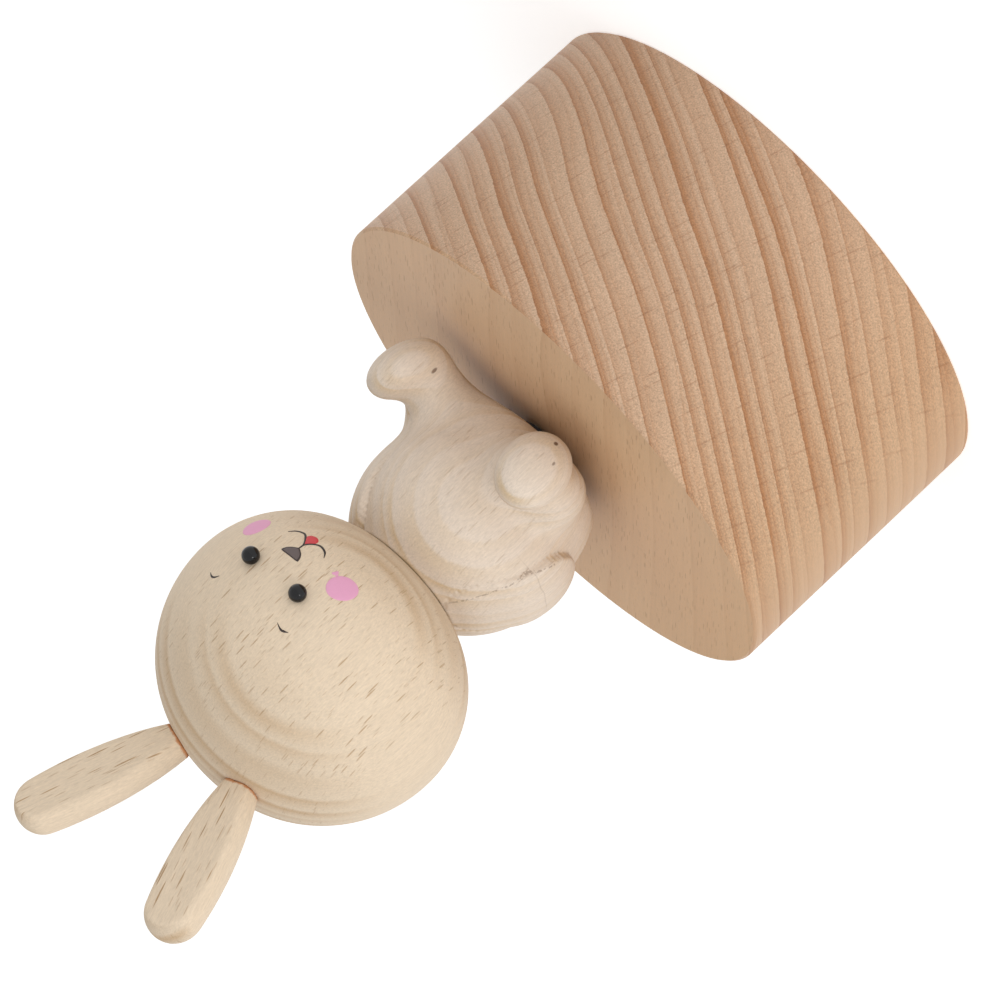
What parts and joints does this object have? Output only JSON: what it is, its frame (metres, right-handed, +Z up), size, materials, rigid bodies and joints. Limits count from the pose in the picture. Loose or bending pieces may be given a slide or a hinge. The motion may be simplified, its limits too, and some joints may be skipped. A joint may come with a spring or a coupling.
{
  "type": "wooden music box",
  "caption": "Clockwork wooden music box: a round solid base hides the spring movement, and a seated rabbit figure turns on a spindle on top.",
  "frame": {"origin": "centre of the base's underside, on the surface the box stands on", "axes": "+Z up along the base's and the spindle's axis; the rabbit looks along -Y at rest, its own left is +X"},
  "size_m": [0.08, 0.08, 0.1313],
  "materials": {
    "base_wood": "fine-sanded warm beech with an oiled, satin surface",
    "board_wood": "raw birch plywood, sanded",
    "figure_wood": "pale turned and carved beech, unvarnished, sanded",
    "black_plastic": "matt black moulding",
    "eye_black": "glossy black bead",
    "brass": "machined brass",
    "cast_plate": "as-cast zinc alloy, satin",
    "comb_steel": "ground and hardened spring steel",
    "spring_steel": "blued spring steel",
    "shaft_steel": "turned bright steel",
    "barrel_steel": "drawn, nickel-plated steel",
    "key_steel": "nickel-plated pressed steel",
    "screw_steel": "zinc-plated steel",
    "lead": "dull grey solder lead",
    "fan_plastic": "moulded off-white acetal"
  },
  "bodies": {
    "base": {"base_shell": "base_wood", "bottom_board": "board_wood", "bottom_screws": "screw_steel", "bedplate": "cast_plate", "movement_screws": "screw_steel", "comb": "comb_steel", "comb_weights": "lead", "comb_screws": "screw_steel", "cylinder_bracket": "brass", "train_plate": "brass", "governor_bracket": "brass", "lower_bridge": "shaft_steel", "spindle_bush": "brass", "click": "shaft_steel", "click_pin": "shaft_steel", "click_spring": "comb_steel"},
    "rabbit": {"spindle": "shaft_steel", "spindle_gear": "brass", "hub": "black_plastic", "rabbit_body": "figure_wood", "neck_dowel": "figure_wood", "rabbit_head": "figure_wood", "ear_right": "figure_wood", "ear_left": "figure_wood", "eye_right": "eye_black", "eye_left": "eye_black", "tail": "figure_wood"},
    "barrel": {"great_wheel": "brass", "spring_barrel": "barrel_steel", "barrel_cover": "barrel_steel", "mainspring": "spring_steel"},
    "winder": {"winding_arbor": "shaft_steel", "ratchet_wheel": "shaft_steel", "winding_key": "key_steel"},
    "cylinder": {"music_cylinder": "brass", "cylinder_arbor": "shaft_steel", "cylinder_pinion": "brass", "cylinder_gear": "brass"},
    "second": {"second_arbor": "shaft_steel", "second_pinion": "brass", "worm_wheel": "brass"},
    "governor": {"governor_worm": "shaft_steel", "governor_fan": "fan_plastic"}
  },
  "joints": [
    {"name": "rabbit_turn", "type": "hinge", "parent": "base", "child": "rabbit", "pos_m": [0, 0, 0.0425], "axis": [0, 0, 1], "continuous": true},
    {"name": "barrel_turn", "type": "hinge", "parent": "base", "child": "barrel", "pos_m": [-0.0168, 0, 0.02], "axis": [0, 0, 1], "continuous": true},
    {"name": "cylinder_turn", "type": "hinge", "parent": "base", "child": "cylinder", "pos_m": [0, 0, 0.02107], "axis": [1, 0, 0], "continuous": true},
    {"name": "second_turn", "type": "hinge", "parent": "base", "child": "second", "pos_m": [0, 0.00909, 0.02633], "axis": [1, 0, 0], "continuous": true},
    {"name": "governor_spin", "type": "hinge", "parent": "base", "child": "governor", "pos_m": [0.02158, 0.01459, 0.02], "axis": [0, 0, 1], "continuous": true},
    {"name": "key_wind", "type": "hinge", "parent": "base", "child": "winder", "pos_m": [-0.0168, 0, 0.01], "axis": [0, 0, 1], "range_deg": [0, 2250]}
  ],
  "couplings": [
    {"joint": "barrel_turn", "follows": "rabbit_turn", "ratio": -0.55556},
    {"joint": "cylinder_turn", "follows": "rabbit_turn", "ratio": 1.1111},
    {"joint": "second_turn", "follows": "rabbit_turn", "ratio": -2},
    {"joint": "governor_spin", "follows": "rabbit_turn", "ratio": 32}
  ]
}
